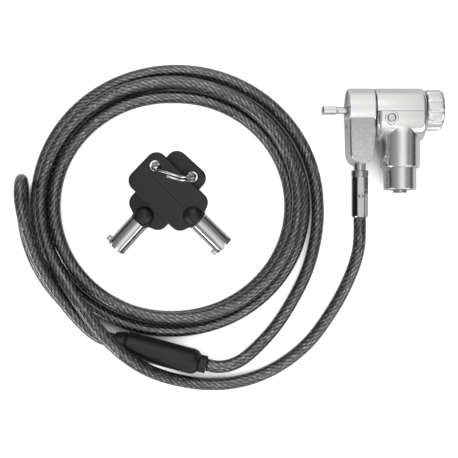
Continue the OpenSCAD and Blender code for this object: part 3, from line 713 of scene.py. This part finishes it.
def castHousing(shape):
    alongX = Matrix.Identity(4)
    stemX, stemRadius, stemEnd = shape["stem"]
    downY = Matrix.Translation((stemX, 0, 0)) @ Matrix.Rotation(math.radians(-90), 4, "Z")
    lower = castForm("housingCasting", shape, bodySection, shape["leftRound"],
                     shape["rightRound"])
    lip = [(stemEnd - shape["stemRound"] * (1 - math.sin(math.radians(a))),
            stemRadius - shape["stemRound"] * (1 - math.cos(math.radians(a))))
           for a in range(0, 91, 15)]
    stem = lathe("stem", [(shape["stemRows"][0], 0),
                          *((along, stemRadius) for along in shape["stemRows"]),
                          *lip, (stemEnd, 0)], 96, downY)
    carve(lower, stem, "UNION")
    carve(lower, bossForm(shape), "UNION")
    upper = castForm("coverCasting", shape, coverSection, shape["coverRound"],
                     shape["rightRound"])
    for radius, start, end in shape["bores"]:
        carve(lower, rod(radius, start, end, alongX), "DIFFERENCE")
        carve(upper, rod(radius, start, end, alongX), "DIFFERENCE")
    for radius, start, end in shape["stemBores"]:
        carve(lower, rod(radius, start, end, downY, 96), "DIFFERENCE")
    pinPlace = (Matrix.Translation((*shape["pin"], 0))
                @ Matrix.Rotation(math.radians(90), 4, "Y"))
    carve(lower, rod(shape["pinHole"], -0.01, 0.01, pinPlace, 48), "DIFFERENCE")
    return (dressMetal(lower, "housing_body", "head"),
            dressMetal(upper, "housing_cover", "head"))


housing, cover = castHousing(housingShape)

springShape = {
    "centre": 0.03215,
    "top": (-0.0104, 0.0034),    # along the stem, and the turn's radius there
    "foot": (-0.0159, 0.0059),
    "wire": 0.00035,             # radius
    "turns": 3,
    "steps": 32,                 # to a turn
    "seat": -0.01,               # the end that stays where it is
    "keep": 0.19,                # its share of length with the cylinder pushed in
}


def windSpring(shape):
    form = bmesh.new()
    rings = []
    total = shape["turns"] * shape["steps"]
    downwards = Vector((0, -1, 0))
    section = [math.tau * k / 12 for k in range(12)]
    for i in range(total + 1):
        turn, done = math.tau * i / shape["steps"], i / total
        out = Vector((math.cos(turn), 0, math.sin(turn)))
        along, radius = (a + (b - a) * done for a, b in zip(shape["top"], shape["foot"]))
        middle = Vector((shape["centre"], along, 0)) + radius * out
        rings.append([form.verts.new(middle + shape["wire"] * (
            math.cos(a) * out + math.sin(a) * downwards)) for a in section])
    bridgeRings(form, rings, capped=True)
    spring = addObject("coneSpring", form, "head")
    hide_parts("plunger_spring")
    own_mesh(spring)
    return spring


spring = windSpring(springShape)

ferruleShape = {
    "place": (0.0156, -0.0247, 0),
    "radius": 0.0035,
    "flat": 0.935,               # half width over the crimped flats, as a share
    "sides": 96,
    "rows": [                    # along the cable, radius, and how far it is crimped
        (0, 0, 0), (0, 0.0029, 0), (0.0001, 0.0032, 0), (0.00035, 0.00345, 0),
        (0.0007, 0.0035, 0), (0.0024, 0.0035, 0), (0.0026, 0.00346, 0), (0.00272, 0.0033, 0),
        (0.00295, 0.0033, 0), (0.0031, 0.00345, 0.7), (0.0034, 0.0035, 1), (0.01, 0.0035, 1),
        (0.0182, 0.0035, 1), (0.0186, 0.0035, 0.9), (0.019, 0.00342, 0.5), (0.0193, 0.0032, 0),
        (0.0194, 0.0029, 0), (0.0194, 0, 0)],
    "dimple": (0.0106, 0.0016),  # its place along the cable and its ball's radius
    "dimpleRise": 0.72,          # the ball's centre over the flat, as a share of its radius
}


def crimpFerrule(shape):
    form = bmesh.new()
    downY = Matrix.Translation(shape["place"]) @ Matrix.Rotation(math.radians(-90), 4, "Z")
    rings = []
    for along, radius, crimp in shape["rows"]:
        if radius == 0:
            rings.append([form.verts.new(downY @ Vector((along, 0, 0)))])
            continue
        ring = []
        for k in range(shape["sides"]):
            turn = math.tau * k / shape["sides"]
            offFlat = (turn + math.pi / 8) % (math.pi / 4) - math.pi / 8
            flat = min(1.0, shape["flat"] / math.cos(offFlat))
            size = radius * (1 + (flat - 1) * crimp)
            ring.append(form.verts.new(downY @ Vector((along, size * math.cos(turn),
                                                       size * math.sin(turn)))))
        rings.append(ring)
    bridgeRings(form, rings, smooth=False)
    ferrule = looseObject("crimpedFerrule", form)
    along, size = shape["dimple"]
    x, y, z = shape["place"]
    height = shape["radius"] * shape["flat"] + size * shape["dimpleRise"]
    ballRows = [(-size * math.cos(math.radians(a)), size * math.sin(math.radians(a)))
                for a in range(0, 181, 6)]
    for up in (1, -1):
        spot = Matrix.Translation((x, y - along, up * height))
        carve(ferrule, lathe("dimple", ballRows, 64, spot), "DIFFERENCE")
    return dressMetal(ferrule, "end_ferrule", "cable", 24)


ferrule = crimpFerrule(ferruleShape)
print("housing and ferrule made")

jacketLook = {
    "strands": 9,
    "layLength": -0.024,         # one turn of the rope
    "drift": 0.12,               # how much the strands stray, in turns
    "driftScale": 60.0,
    "wireCount": 52,             # round the rope
    "wireLay": 0.15,             # one turn of the wires
    "wireCell": 0.0011,          # length over which one wire shows
    "paintedGlintFrom": 0.84,           # share of the wires without a painted glint
    "cloudScale": 140.0,
    # the tone ramp: near-black painted shade in the grooves between strands, the rope's own
    # colour, then a painted highlight on the strands' crowns and painted glints on single wires
    "gap": (0.003, 0.003, 0.0035),
    "rope": (0.06, 0.061, 0.063),
    "crownHighlight": (0.29, 0.29, 0.29),
    "glint": (0.9, 0.9, 0.9),
    "smoke": (0.7, 0.703, 0.71),  # tint of the clear jacket
    "metallic": 0.8,
    "roughness": 0.3,
    "jacketRoughness": 0.05,
    "jacketIor": 1.7,
    "ropeBump": 0.00022,
    "wireBump": 0.00009,
}


def smokedJacket(look):
    finish = Finish("smokedJacket")
    place = finish.add("UVMap", uv_map="lay").outputs[0]
    parts = finish.add("SeparateXYZ", {0: place})
    along, around = parts.outputs[0], parts.outputs[1]
    drift = finish.math("MULTIPLY", along, look["driftScale"])
    drift = finish.add("CombineXYZ", {0: drift}).outputs[0]
    drift = finish.math("MULTIPLY", finish.noise(drift, 1.0, 2.0), look["drift"])
    turns = finish.math("ADD", finish.math("DIVIDE", along, look["layLength"]), drift)
    phase = finish.math("MULTIPLY", finish.math("ADD", around, turns), float(look["strands"]))
    strand = finish.math("PINGPONG", phase, 0.5)             # 0 in a groove, 0.5 on a crown
    crown = finish.math("POWER", finish.math("MULTIPLY", strand, 2.0), 0.7)
    wires = finish.math("SUBTRACT", around, finish.math("DIVIDE", along, look["wireLay"]))
    wires = finish.math("MULTIPLY", wires, float(look["wireCount"]))
    wire = finish.math("PINGPONG", wires, 0.5)
    cell = finish.add("CombineXYZ", {
        0: finish.math("FLOOR", finish.math("DIVIDE", along, look["wireCell"])),
        1: finish.math("FLOOR", wires), 2: finish.math("FLOOR", phase)}).outputs[0]
    chance = finish.add("TexWhiteNoise", {"Vector": cell}, noise_dimensions="3D").outputs[0]
    cloud = finish.noise(place, look["cloudScale"], 2.0)
    # the tone falls into the grooves between strands and between wires, which is painted shade,
    # and rises on the crowns to a painted highlight; chance and cloud vary it at random
    tone = finish.math("MULTIPLY", crown, finish.spread(wire, 0.0, 0.5, 0.55, 1.0))
    tone = finish.math("MULTIPLY", tone, finish.spread(chance, 0.0, 1.0, 0.55, 1.0))
    tone = finish.math("MULTIPLY", tone, finish.vary(cloud, 0.8, 1.15))
    colour = finish.ramp(tone, [(0.0, look["gap"]), (0.3, look["rope"]), (0.8, look["crownHighlight"]),
                                (1.0, look["glint"])])
    # random wires on the crowns take the glint colour: painted glints
    paintedGlint = finish.math("GREATER_THAN", chance, look["paintedGlintFrom"])
    paintedGlint = finish.math("MULTIPLY", paintedGlint, crown)
    paintedGlint = finish.math("MULTIPLY", paintedGlint, finish.spread(wire, 0.1, 0.45, 0.0, 1.0))
    colour = finish.add("MixRGB", {0: paintedGlint, 1: colour, 2: (*look["glint"], 1)}).outputs[0]
    rope = finish.bump(crown, look["ropeBump"], 0.7)
    normal = finish.bump(wire, look["wireBump"], 0.7, rope)
    return finish.principled({
        "Base Color": colour, "Metallic": look["metallic"], "Roughness": look["roughness"],
        "Normal": normal, "Coat Weight": 1.0, "Coat Roughness": look["jacketRoughness"],
        "Coat IOR": look["jacketIor"], "Coat Tint": (*look["smoke"], 1)})


castingLook = {
    "colour": (0.79, 0.788, 0.78),
    # the tongue's flat faces are darker: painted shade
    "flatShadeColour": (0.55, 0.55, 0.545),
    "roughness": 0.22,
    "flatRoughness": 0.4,        # the blasted faces of the tongue
    "grain": 0.000015,           # height of the fine grain
    "grainScale": 5200.0,
    "cloudScale": 260.0,
    "patchScale": 900.0,
    "speck": (0.86, 1.08),       # tone over the grain
    "patch": (0.9, 1.1),         # tone over the blasted patches
    "fade": (1.17, 0.86),        # painted light along the tongue's flat faces, from its tip to the ring: lighter at the tip, darker at the ring
    "edge": 0.00035,             # softening of the casting's edges
    "blastedShadeFrom": -0.003,       # the tongue's blasted faces, with painted shade: y at their ring end
    "blastedShadeTo": -0.022,         # and at their tip
}


def satinCasting(name, look, blastedAndShaded=False):
    finish = Finish(name)
    place = finish.add("TexCoord").outputs["Object"]
    grain = finish.noise(place, look["grainScale"], 2.0, 0.7)
    cloud = finish.noise(place, look["cloudScale"], 3.0)
    corner = finish.add("Bevel", {"Radius": look["edge"]}, samples=6).outputs[0]
    rough = finish.vary(cloud, look["roughness"] - 0.01, look["roughness"] + 0.02)
    speck = finish.vary(grain, *look["speck"])
    tone = finish.add("MixRGB", {0: 1.0, 1: (*look["colour"], 1), 2: speck},
                      blend_type="MULTIPLY").outputs[0]
    # the tongue's flat faces: rougher, and darker with a gradient along the tongue, which is
    # painted shade and light
    if blastedAndShaded:
        facing = finish.add("SeparateXYZ", {0: finish.add("NewGeometry").outputs["True Normal"]})
        flat = finish.math("GREATER_THAN", finish.math("ABSOLUTE", facing.outputs[2]), 0.9995)
        along = finish.add("SeparateXYZ", {0: place}).outputs[1]
        flat = finish.math("MULTIPLY", flat,
                           finish.math("LESS_THAN", along, look["blastedShadeFrom"]))
        rough = finish.add("Mix", {0: flat, 2: rough, 3: look["flatRoughness"]}).outputs[0]
        # painted light: the flat faces lighter at the tongue's tip, darker at its ring end
        fade = finish.spread(along, look["blastedShadeTo"], look["blastedShadeFrom"], *look["fade"])
        patch = finish.vary(finish.noise(place, look["patchScale"], 3.0), *look["patch"])
        patch = finish.math("MULTIPLY", finish.math("MULTIPLY", fade, patch), speck)
        shadedFlatTone = finish.add("MixRGB", {0: 1.0, 1: (*look["flatShadeColour"], 1), 2: patch},
                          blend_type="MULTIPLY").outputs[0]
        tone = finish.add("MixRGB", {0: flat, 1: tone, 2: shadedFlatTone}).outputs[0]
    normal = finish.bump(grain, look["grain"], 0.6, corner)
    return finish.principled({"Base Color": tone, "Metallic": 1.0, "Roughness": rough,
                              "Normal": normal})


plateLooks = {                   # edge is the softening of the corners, 0 for none
    "chromePlate": {"colour": (0.5, 0.5, 0.5), "roughness": 0.16, "edge": 0, "grain": 0.02},
    "ringPlate": {"colour": (0.66, 0.66, 0.655), "roughness": 0.2, "edge": 0, "grain": 0.02},
    "turnedSteel": {"colour": (0.64, 0.64, 0.635), "roughness": 0.2, "edge": 0.0002,
                    "grain": 0.04},
    "cylinderPlate": {"colour": (0.74, 0.738, 0.73), "roughness": 0.26, "edge": 0.0003,
                      "grain": 0.04},
    "bushMetal": {"colour": (0.6, 0.52, 0.34), "roughness": 0.25, "edge": 0.0002,
                  "grain": 0.03},
}


plateGrain = {"scale": 4800.0, "height": 0.00001, "cloudScale": 500.0}


def polishedPlate(name, look):
    finish = Finish(name)
    place = finish.add("TexCoord").outputs["Object"]
    cloud = finish.noise(place, plateGrain["cloudScale"], 3.0)
    rough = finish.vary(cloud, look["roughness"] * 0.92, look["roughness"] * 1.1)
    grain = finish.noise(place, plateGrain["scale"], 2.0, 0.7)
    speck = finish.vary(grain, 1 - look["grain"] * 2, 1 + look["grain"])
    tone = finish.add("MixRGB", {0: 1.0, 1: (*look["colour"], 1), 2: speck},
                      blend_type="MULTIPLY").outputs[0]
    sockets = {"Base Color": tone, "Metallic": 1.0, "Roughness": rough}
    if look["edge"]:
        corner = finish.add("Bevel", {"Radius": look["edge"]}, samples=6).outputs[0]
        sockets["Normal"] = finish.bump(grain, plateGrain["height"], 0.6, corner)
    return finish.principled(sockets)


mouldLook = {
    "colour": (0.009, 0.009, 0.0099),
    "roughness": 0.42,
    "grain": 0.00004,            # height of the fine grain
    "grainScale": 6000.0,
    "cloudScale": 150.0,
}


def blackMoulding(look):
    finish = Finish("blackMoulding")
    place = finish.add("TexCoord").outputs["Object"]
    grain = finish.noise(place, look["grainScale"], 2.0)
    rough = finish.vary(finish.noise(place, look["cloudScale"]),
                        look["roughness"] - 0.06, look["roughness"] + 0.06)
    normal = finish.bump(grain, look["grain"], 0.6)
    return finish.principled({"Base Color": (*look["colour"], 1), "Roughness": rough,
                              "Normal": normal})


jacket = smokedJacket(jacketLook)
casting = satinCasting("satinCasting", castingLook)
# the yoke's casting, with painted shade and light on its flat faces
shadedTongueCasting = satinCasting("shadedTongueCasting", castingLook, blastedAndShaded=True)
chrome, ringPlate, turned, cylinderPlate, brass = (
    polishedPlate(name, look) for name, look in plateLooks.items())
moulding = blackMoulding(mouldLook)

for piece, look in ((longCable, jacket), (anchorEye, jacket), (sleeve, moulding),
                    (splitRing, ringPlate), (knob, casting), (backGrip, moulding),
                    (frontGrip, moulding), (housing, casting), (cover, casting),
                    (ferrule, chrome), (backTube, chrome), (frontTube, chrome),
                    (spring, turned)):
    piece.data.materials.clear()
    piece.data.materials.append(look)

slotFinishes = {
    "satin_casting": casting, "cylinder_plate": cylinderPlate, "chrome_plate": chrome,
    "turned_steel": turned, "bush_metal": brass, "ring_wire": ringPlate,
    "cable_jacket": jacket, "moulded_black": moulding}
for part in frame["record"]["subparts"]:
    node = frame["nodes"][part["node"]]
    look = slotFinishes[part["material_slot"]]
    # the yoke's pieces take the casting with painted shade and light on its flat faces
    if look is casting and part["node"].startswith("yoke_"):
        look = shadedTongueCasting
    for place in node.material_slots:
        place.link = "OBJECT"
        place.material = look
print("finishes set")

studio = {
    "floorSize": 3,              # metres from its middle to its sides
    "floorDrop": 0.00003,        # below the cable's underside
    "floorTone": 0.6,
    "floorGlow": 0.9,            # what the camera sees beyond the lit tone
    "mirrorGlow": 0.22,          # what the metals see beyond the lit tone
    "shadowReach": 0.025,        # how near a piece has to be to paint shadow on the floor
    "shadow": (0.2, 0.36),       # openness where the seen floor starts to glow, and glows fully
    "mirroredShadow": 0.45,      # glow that the metals still see under a piece, in the painted shadow
    "lampAim": (-0.04, -0.05, 0),
    "lamps": {                   # place, length, width and power
        "topLamp": ((-0.05, -0.42, 0.7), 0.4, 0.4, 0.2),
        "sideLamp": ((-0.08, 0.24, 0.34), 0.24, 0.24, 0.16),
        "glintStrip0": ((0.42, -0.5, 0.3), 0.6, 0.09, 0.9),
        "glintStrip1": ((-0.6, -0.5, 0.16), 0.5, 0.11, 1.5)},
    # tone against the angle from overhead: towards +X, then towards +Y
    "across": [(-90, 0.3), (-86, 0.06), (-74, 0.06), (-66, 0.24), (-42, 0.3), (-28, 0.37),
               (-15, 0.6), (-5, 0.92), (4, 1.0), (13, 0.94), (25, 0.6), (33, 0.46),
               (34, 0.1), (38, 0.1), (39, 0.38), (52, 0.3), (66, 0.18), (80, 0.08), (90, 0.3)],
    "away": [(-90, 0.6), (-84, 0.4), (-68, 0.5), (-50, 0.8), (-30, 0.92), (-20, 0.94),
             (-12, 1.0), (-3, 1.0), (6, 0.9), (30, 0.88), (84, 0.86), (90, 0.7)],
    # tone against the height above the horizon, where the horizon is dark
    "rise": [(0, 0.08), (8, 0.08), (14, 0.3), (22, 0.9), (30, 1.0), (90, 1.0)],
    "sideways": (0.3, 0.6),      # the dark horizon fades in between these shares of X
    "level": 1.2,
}


def layFloor(look):
    sheet = bmesh.new()
    bmesh.ops.create_grid(sheet, x_segments=1, y_segments=1, size=look["floorSize"])
    floor = looseObject("paleFloor", sheet)
    floor.location = (0, 0, floorZ - look["floorDrop"])
    finish = Finish("paleFloor")
    tone = look["floorTone"]
    lit = finish.add("BsdfDiffuse", {"Color": (tone, tone, tone, 1)})
    rays = finish.add("LightPath").outputs
    # near and under pieces the floor's glow, seen by the camera and in the metals' reflections,
    # is cut back: painted shadow
    openness = finish.add("AmbientOcclusion", {"Distance": look["shadowReach"]},
                          samples=8).outputs["AO"]
    seen = finish.math("MULTIPLY", rays["Is Camera Ray"], look["floorGlow"])
    seen = finish.math("MULTIPLY", seen, finish.spread(openness, *look["shadow"], 0.0, 1.0))
    mirrored = finish.math("MAXIMUM", rays["Is Glossy Ray"], rays["Is Transmission Ray"])
    mirrored = finish.math("MULTIPLY", mirrored, look["mirrorGlow"])
    under = finish.spread(openness, 0.0, 1.0, look["mirroredShadow"], 1.0)
    mirrored = finish.math("MULTIPLY", mirrored, under)
    glow = finish.add("Emission", {"Strength": finish.math("ADD", seen, mirrored)})
    both = finish.add("AddShader", {0: lit.outputs[0], 1: glow.outputs[0]})
    finish.tree.links.new(both.outputs[0], finish.output.inputs[0])
    floor.data.materials.append(finish.material)


def hangLamp(name, place, length, width, power, target):
    lamp = bpy.data.lights.new(name, "AREA")
    lamp.shape = "RECTANGLE"
    lamp.size = length
    lamp.size_y = width
    lamp.energy = power
    hung = bpy.data.objects.new(name, lamp)
    hung.location = place
    aim = Vector(target) - hung.location
    hung.rotation_euler = aim.to_track_quat("-Z", "Y").to_euler()
    bpy.context.scene.collection.objects.link(hung)


def paintWorld(look):
    world = bpy.data.worlds.new("studioWorld")
    bpy.context.scene.world = world
    sky = Finish("studioWorld", world)
    parts = sky.add("SeparateXYZ", {0: sky.add("TexCoord").outputs["Generated"]}).outputs
    tones = []
    for way, stops in ((0, look["across"]), (1, look["away"])):
        turn = sky.math("ARCSINE", parts[way])
        share = sky.spread(turn, -math.pi / 2, math.pi / 2, 0.0, 1.0)
        tones.append(sky.ramp(share, [(0.5 + angle / 180, tone) for angle, tone in stops]))
    lift = sky.spread(sky.math("ARCSINE", parts[2]), 0.0, math.pi / 2, 0.0, 1.0)
    lift = sky.ramp(lift, [(angle / 90, tone) for angle, tone in look["rise"]])
    aside = sky.spread(sky.math("ABSOLUTE", parts[0]), *look["sideways"], 0.0, 1.0)
    shade = sky.math("MULTIPLY", aside, sky.math("SUBTRACT", 1.0, lift))
    tones.append(sky.math("SUBTRACT", 1.0, shade))
    tone = sky.math("MULTIPLY", sky.math("MULTIPLY", *tones[:2]), tones[2])
    tone = sky.math("MULTIPLY", tone, look["level"])
    seen = sky.add("LightPath").outputs["Is Camera Ray"]
    glow = sky.add("Background", {"Color": (1, 1, 1, 1),
                                  "Strength": sky.math("MAXIMUM", tone, seen)})
    sky.tree.links.new(glow.outputs[0], sky.output.inputs[0])


layFloor(studio)
for lampName, values in studio["lamps"].items():
    hangLamp(lampName, *values, studio["lampAim"])
paintWorld(studio)
bpy.context.scene.view_settings.view_transform = "Standard"
print("studio set")
